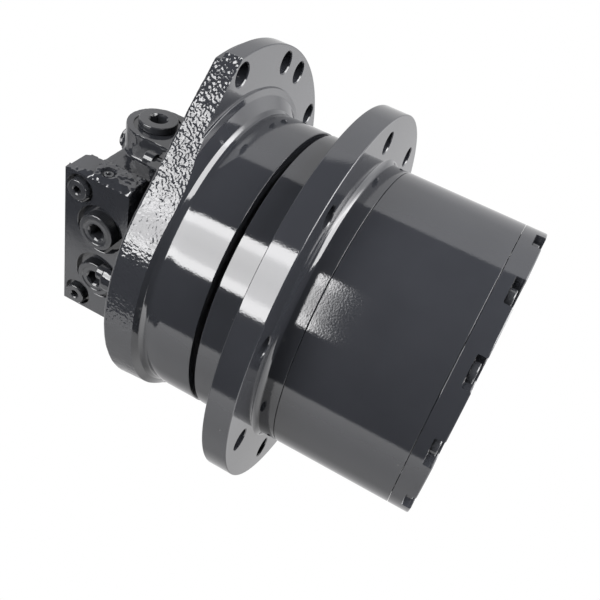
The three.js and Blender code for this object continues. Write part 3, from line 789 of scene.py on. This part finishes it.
add_screws(screw("spool_plug", head=12.7, height=7.2, shank=9.7, length=19.2, hexagon=10, depth=8,
                 knurls=72, ring=True),
           [("upper_spool_plug", "front", 12), ("lower_spool_plug", "front", 41)])
add_screws(screw("gauge_plug", head=7.2, height=6, shank=4.7, length=14, hexagon=5, depth=5,
                 knurls=48),
           [("upper_gauge_plug", "front", 25), ("lower_gauge_plug", "front", 3)])
add_screws(screw("top_plug", head=12.7, height=5, shank=9.7, length=17, hexagon=10.5, depth=8),
           [("top_port_plug", "top", 8)])
add_screws(screw("side_plug", head=6.8, height=3.6, shank=4.7, length=11.6, hexagon=5, depth=4,
                 knurls=48),
           [("side_port_plug", "rear", 0)])
add_screws(screw("cover_plug", head=10.8, height=4, shank=7, length=13, hexagon=8, depth=5),
           [("level_plug", "end", 10), ("drain_plug", "end", 35)])
add_screws(screw("set_screw", head=3.2, height=1, shank=3.1, length=7.6, hexagon=2.5, depth=2.5),
           [("set_screw", "top", 14, SCREW_LIFT)])
add_screws(screw("block_screw", head=5, height=7, shank=3, length=36, hexagon=5, depth=4),
           [(f"valve_body_bolt_{i}", "rear", 17 * i) for i in range(1, BLOCK_SCREWS + 1)])
add_screws(screw("cover_screw", head=6.3, height=4.2, shank=4, length=101.2, hexagon=6, depth=3.4),
           [(f"cover_bolt_{i:02d}", "end", 23 * i) for i in range(1, COVER_SCREWS + 1)])

# Valve block: a rough casting, then its machined faces and bores ----------------


def rounded_box(name, x0, x1, y0, y1, z0, z1, corner):
    loops = []
    for x in (x0, x1):
        loop = []
        for cy, cz, start in ((y1 - corner, z1 - corner, 0), (y0 + corner, z1 - corner, 90),
                              (y0 + corner, z0 + corner, 180), (y1 - corner, z0 + corner, 270)):
            for turn in np.linspace(start, start + 90, 7):
                dy, dz = polar(corner, turn)
                loop.append((x, cy + dy, cz + dz))
        loops.append(loop)
    return loft(name, loops)


def drum(radius, start, end, sides=64):
    return revolve("drum", [(start, 0), (start, radius), (end, radius), (end, 0)], sides)


UP = facing((0, 0, 1))
FORWARD = facing((0, -1, 0))


def rough_block():
    plate = block("valve_block", PLATE_LEFT - 2, PLATE_RIGHT, PLATE_FRONT - 2, PLATE_BACK,
                  -PLATE_HALF - 2, PLATE_HALF + 0.4)
    half = CASTING["half"]
    parts = [
        rounded_box("casting", CASTING["left"], LUG_FACE + 8, PLATE_BACK - 8, CASTING["back"],
                    -half, half, CASTING["corner"]),
        drum(MOUNTING_DISC, LUG_FACE + 7, MATING_FACE),
        turned(drum(BOSS["radius"], 0, BOSS["top"] + 0.7 - BOSS["foot"]),
               at(BOSS["x"], BOSS["y"], BOSS["foot"]) @ UP),
        block("bridge", BOSS["x"], BOSS["right"], BOSS["y"] - BOSS["radius"],
              BOSS["y"] + BOSS["radius"], BOSS["foot"], BOSS["top"] + 0.7),
    ]
    parts.append(turned(drum(SIDE_PORT["radius"], SIDE_PORT["face"] - 1.3, SIDE_PORT["foot"]),
                        at(0, *centre("side_port_plug", "yz"))))
    for y, z in block_screw_places():
        ear = turned(drum(LUG_RADIUS, LUG_FACE - 1, MATING_FACE), at(0, y, z))
        arm = block("arm", LUG_FACE - 1, MATING_FACE, 0, LUG_CIRCLE, -LUG_RADIUS, LUG_RADIUS)
        parts += [ear, turned(arm, Matrix.Rotation(math.atan2(z, y), 4, "X"))]
    return combine(plate, parts, "UNION")


VOXEL = 0.9
SMOOTHING = 7
PAD_FOOT, PAD_TOP = 52, 53.8
PAD_SIDE = (32, 39)
PAD_END = (18, 21)
PAD_CORNER = (-64, -54)
PEBBLE_CELL, PEBBLE_SEED = 1.9, 5
CASTING_PEBBLES, PAD_PEBBLES = 0.13, 0.5


def weather(obj):
    """Soften the casting's edges and corners, then give it the rough-cast surface."""
    remesh = obj.modifiers.new("even", "REMESH")
    remesh.mode = "VOXEL"
    remesh.voxel_size = VOXEL * MM
    soften = obj.modifiers.new("soften", "SMOOTH")
    soften.factor = 0.5
    soften.iterations = SMOOTHING
    bake(obj)
    mesh = obj.data
    points = positions(mesh) / MM
    normals = np.array([vertex.normal for vertex in mesh.vertices])
    on_pad = smoothstep(PAD_FOOT, PAD_TOP, points[:, 2]) * smoothstep(*PAD_SIDE, -points[:, 1])
    behind = np.maximum(0, points[:, 1] - PLATE_FRONT)
    rise = PAD_RISE * (1 - np.exp(-behind / PAD_RISE)) * (1 - smoothstep(*PAD_END, behind))
    rise *= 0.15 + 0.85 * smoothstep(*PAD_CORNER, points[:, 0])
    points[:, 2] += rise * on_pad
    height = cast_height(points, PEBBLE_CELL, PEBBLE_SEED)
    height = height * (CASTING_PEBBLES + PAD_PEBBLES * on_pad)
    mesh.vertices.foreach_set("co", ((points + normals * height[:, None]) * MM).ravel())
    return obj


SPOOL_PORT = {"seat": 17.2, "radius": 10, "depth": 17}
GAUGE_PORT = {"seat": 9.6, "radius": 5, "depth": 14}
SPOOL_BORE, SPOOL_DEPTH = 8.3, 92
TOP_SEAT, TOP_PORT, TOP_DEPTH = 15.5, 10, 30
SIDE_BORE = 5
SET_SCREW_BORE = 3.5
SHAFT_SPACE, SHAFT_SPACE_START = 13, -21


def front_port(node, port):
    """Seat and bore of a plug on the front of the plate."""
    x, z = centre(node, "xz")
    radius = port["seat"]
    seat = revolve("seat", [(-SEAT_DEPTH, 0), (-SEAT_DEPTH, radius), (-0.25, radius),
                            (0.25, radius + 0.5), (2, radius + 0.5), (2, 0)], 96)
    bore = drum(port["radius"], -port["depth"], 2)
    return [turned(cutter, at(x, PLATE_FRONT, z) @ FORWARD) for cutter in (seat, bore)]


def front_bores():
    for kind, port in (("spool", SPOOL_PORT), ("gauge", GAUGE_PORT)):
        for side in ("upper", "lower"):
            yield from front_port(f"{side}_{kind}_plug", port)
    x, z = centre("counterbalance_spool", "xz")
    yield turned(drum(SPOOL_BORE, -SPOOL_DEPTH, 2, 32), at(x, PLATE_FRONT, z) @ FORWARD)


def plate_cuts():
    """Flat faces of the plate, its stepped top edge and its bevelled rear corner."""
    far = 90
    yield block("front", -far, far, PLATE_FRONT - 20, PLATE_FRONT, -far, far)
    yield block("left", PLATE_LEFT - 20, PLATE_LEFT, -far, PLATE_BACK + 2, -far, far)
    yield block("under", -far, PLATE_RIGHT + 6, -far, PLATE_BACK + 1, -far, -PLATE_HALF)
    yield block("mating", MATING_FACE, MATING_FACE + 10, -far, far, -far, far)
    border = [(-80, -56.4), (-51.7, -56.4), (-54.6, -44), (-54.6, -30), (-80, -30)]
    yield loft("top_left", [[(x, y, z) for x, y in border] for z in (PLATE_HALF - 0.2, 70)])
    corner = [(-80, -44), (PLATE_LEFT - 1, -42), (-67.5, PLATE_BACK - 1), (-67.5, -30), (-80, -30)]
    yield loft("corner", [[(x, y, z) for x, y in corner] for z in (-70, 70)])


def boss_cuts():
    x, y, top = BOSS["x"], BOSS["y"], BOSS["top"]
    yield block("boss_top", -90, 90, -60, 60, top, top + 20)
    seat = revolve("seat", [(-1, 0), (-1, TOP_SEAT), (-0.3, TOP_SEAT), (0.4, TOP_SEAT + 0.7),
                            (4, TOP_SEAT + 0.7), (4, 0)], 96)
    yield turned(seat, at(x, y, top) @ UP)
    yield turned(drum(TOP_PORT, -TOP_DEPTH, 3), at(x, y, top) @ UP)


def side_port_cuts():
    y, z = centre("side_port_plug", "yz")
    yield block("side_face", -90, SIDE_PORT["face"], y - 12, y + 12, z - 12, z + 12)
    yield turned(drum(SIDE_BORE, -70, -53), at(0, y, z))


def set_screw_cuts():
    place = at(*centre("set_screw", "xy"), PLATE_HALF + SCREW_LIFT) @ UP
    yield turned(revolve("seat", [(-0.5, 0), (-0.5, 4.4), (4, 5.6), (4, 0)], 48), place)
    yield turned(drum(SET_SCREW_BORE, -9, 3, 32), place)


def lug_cuts():
    for y, z in block_screw_places():
        yield turned(drum(7.6, LUG_FACE - 12, LUG_FACE), at(0, y, z))
        yield turned(drum(BLOCK_SCREW_BORE, LUG_FACE - 2, MATING_FACE + 2, 24), at(0, y, z))


def machined_cuts():
    for cuts in (plate_cuts, boss_cuts, side_port_cuts, set_screw_cuts, lug_cuts):
        yield from cuts()
    yield drum(SHAFT_SPACE, SHAFT_SPACE_START, MATING_FACE + 2)


def build_valve_body():
    casting = weather(rough_block())
    return shade(combine(casting, [*machined_cuts(), *front_bores()]), 36)


def mark_machined(obj):
    """Flat cut faces keep the smooth enamel, the rest has the cast one."""
    for face in obj.data.polygons:
        x, y, z = (c / MM for c in face.center)
        flat = (abs(y - PLATE_FRONT) < 0.02 or abs(x - PLATE_LEFT) < 0.02
                or abs(z - PLATE_HALF + 0.2) < 0.02 or z > BOSS["top"] - 1.02
                or y < PLATE_FRONT + SEAT_DEPTH + 0.02 and x > PLATE_LEFT + 1)
        if flat and max(abs(c) for c in face.normal) > 0.98:
            face.material_index = 1


valve_body = build_valve_body()
add_piece(valve_body, "valve_body", [ENAMEL_BLOCK, ENAMEL])
mark_machined(valve_body)

# CAD nodes that stay: inner parts -----------------------------------------------

INNER_FINISH = {
    "gear_steel": GEAR_STEEL, "ground_steel": GROUND_STEEL, "cast_iron": CAST_IRON,
    "bronze": BRONZE, "friction": FRICTION,
}
for name, node in frame["nodes"].items():
    if SLOT_OF[name] in INNER_FINISH:
        material = SEAL_IRON if "seal_ring" in name else INNER_FINISH[SLOT_OF[name]]
        node.data.materials.clear()
        node.data.materials.append(material)

# Studio -------------------------------------------------------------------------

# Brightness of the pale room by roll, the angle round X from straight up, in degrees
ROOM = [(-180, 0.5), (-130, 1.0), (-100, 0.8), (-75, 0.8), (-45, 1.4), (-28, 1.8),
        (120, 2.4), (135, 1.6), (150, 1.1), (180, 0.5)]
ROOM_PEAK = 3.0
STRIPES = [(34, 1.0), (42, 1.0), (44, 0.72), (56, 0.66), (66, 0.72), (68, 1.0), (75, 1.0)]
SOFTBOX_POWER = 19.0
RIGHT_POWER = 9.0
TOP_POWER = 15.0
DARK_LEVEL = 0.03
FLOOR_HALF = 6.0
FLOOR_DROP = 0.0005


class Sky(Graph):
    """The studio's light by direction: roll round X, azimuth round Z, and the share along X."""

    def __init__(self, tree):
        super().__init__(tree)
        direction = self.node("ShaderNodeTexCoord").outputs["Generated"]
        self.along, across, self.upward = self.node("ShaderNodeSeparateXYZ", {0: direction}).outputs
        self.roll = self.degrees(self.times(across, -1.0), self.upward)
        self.azimuth = self.degrees(across, self.along)

    def degrees(self, a, b):
        return self.math("DEGREES", self.math("ARCTAN2", a, b))

    def times(self, *factors):
        product = factors[0]
        for factor in factors[1:]:
            product = self.math("MULTIPLY", product, factor)
        return product

    def total(self, *terms):
        result = terms[0]
        for term in terms[1:]:
            result = self.math("ADD", result, term)
        return result

    def inverse(self, mask):
        return self.math("SUBTRACT", 1.0, mask)

    def remap(self, value, start, end, low, high):
        return self.node("ShaderNodeMapRange", {"Value": value, "From Min": start, "From Max": end,
                                                "To Min": low, "To Max": high}).outputs[0]

    def edge(self, value, place, width):
        """Soft step from 0 to 1 as value passes place, a number or a socket."""
        if isinstance(place, bpy.types.NodeSocket):
            start, end = self.math("ADD", place, -width), self.math("ADD", place, width)
        else:
            start, end = place - width, place + width
        return self.node("ShaderNodeMapRange", {"Value": value, "From Min": start, "From Max": end},
                         interpolation_type="SMOOTHSTEP").outputs[0]

    def by_roll(self, stops):
        """Grey ramp over the whole turn from (degrees, value) stops."""
        share = self.math("DIVIDE", self.math("ADD", self.roll, 180.0), 360.0)
        return self.ramp(share, [((turn + 180) / 360, grey(value)) for turn, value in stops])

    def room(self):
        """Pale room, brighter beyond the end cover."""
        pale = self.by_roll([(turn, value / ROOM_PEAK) for turn, value in ROOM])
        return self.times(pale, ROOM_PEAK, self.remap(self.along, 0.2, 0.45, 1.0, 2.3))

    def dark_side(self):
        """Where the room is unlit: a wide band whose borders shift along X, and a gap at the end."""
        upper = self.remap(self.along, -0.28, -0.2, -20.5, -29.5)
        lower = self.remap(self.along, -0.46, -0.38, 135.5, 124.5)
        band = self.times(self.edge(self.roll, upper, 0.4),
                          self.inverse(self.edge(self.roll, lower, 0.4)))
        gap = self.times(self.edge(self.along, 0.9, 0.02),
                         self.inverse(self.edge(self.azimuth, 20, 1.5)))
        return self.math("MAXIMUM", band, gap)

    def softbox(self):
        """Bright striped lamp on the valve's side."""
        shape = self.times(self.edge(self.roll, 34.6, 0.25),
                           self.inverse(self.edge(self.roll, 75.3, 0.25)),
                           self.inverse(self.edge(self.along, -0.19, 0.02)),
                           self.edge(self.along, -0.75, 0.03))
        return self.times(shape, self.by_roll(STRIPES), SOFTBOX_POWER)

    def right_panel(self):
        """Upright panel beyond the cover, sharp at one border and faded at the other."""
        shape = self.math("SUBTRACT", self.edge(self.azimuth, 20, 1.5),
                          self.edge(self.azimuth, 36, 14))
        height = self.inverse(self.edge(self.math("ABSOLUTE", self.upward), 0.4, 0.05))
        return self.times(shape, height, self.edge(self.along, 0.6, 0.05), RIGHT_POWER)

    def top_panel(self):
        """Overhead panel, fading towards the back."""
        shape = self.math("SUBTRACT", self.edge(self.roll, -45, 14), self.edge(self.roll, 24, 1.5))
        reach = self.math("SUBTRACT", self.edge(self.along, 0.43, 0.02),
                          self.edge(self.along, 0.93, 0.02))
        return self.times(shape, reach, TOP_POWER)


def build_world():
    """Light for the part, plain white for the camera."""
    world = bpy.data.worlds.new("studio")
    bpy.context.scene.world = world
    world.use_nodes = True
    world.node_tree.nodes.clear()
    sky = Sky(world.node_tree)
    dark = sky.dark_side()
    light = sky.total(sky.times(dark, DARK_LEVEL), sky.times(sky.inverse(dark), sky.room()),
                      sky.softbox(), sky.right_panel(), sky.top_panel())
    seen = sky.node("ShaderNodeLightPath").outputs["Is Camera Ray"]
    light = sky.total(sky.times(light, sky.inverse(seen)), seen)
    emit = sky.node("ShaderNodeBackground", {"Color": (1, 0.995, 1, 1), "Strength": light})
    sky.node("ShaderNodeOutputWorld", {"Surface": emit.outputs[0]})


def build_floor():
    """White floor, seen by the camera alone."""
    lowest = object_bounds()[0][2]
    bpy.ops.mesh.primitive_plane_add(size=2 * FLOOR_HALF, location=(0, 0, lowest - FLOOR_DROP))
    floor = bpy.context.object
    floor.name = "floor"
    material, graph = new_material("pale_floor")
    glow = graph.node("ShaderNodeEmission", {"Color": (1, 1, 1, 1), "Strength": 1.0})
    graph.node("ShaderNodeOutputMaterial", {"Surface": glow.outputs[0]})
    floor.data.materials.append(material)
    floor.visible_glossy = False
    floor.visible_shadow = False
    floor.visible_diffuse = False


# Camera, fitted to the photograph
CAMERA_PLACE = Vector((0.19615, -0.38819, 0.33650))
CAMERA_RIGHT = Vector((0.8718625, 0.44513751, 0.20422629))
CAMERA_UP = Vector((-0.43845719, 0.52365871, 0.73043607))
CAMERA_LENS = 46.94


def build_camera():
    data = bpy.data.cameras.new("camera")
    data.lens = CAMERA_LENS
    data.sensor_width = 36
    data.clip_start = 0.01
    camera = bpy.data.objects.new("camera", data)
    bpy.context.scene.collection.objects.link(camera)
    back = CAMERA_RIGHT.cross(CAMERA_UP).normalized()
    rotation = Matrix((CAMERA_RIGHT, CAMERA_UP, back)).transposed().to_4x4()
    camera.matrix_world = Matrix.Translation(CAMERA_PLACE) @ rotation
    bpy.context.scene.camera = camera


build_world()
build_floor()
build_camera()
bpy.context.scene.view_settings.view_transform = "Standard"
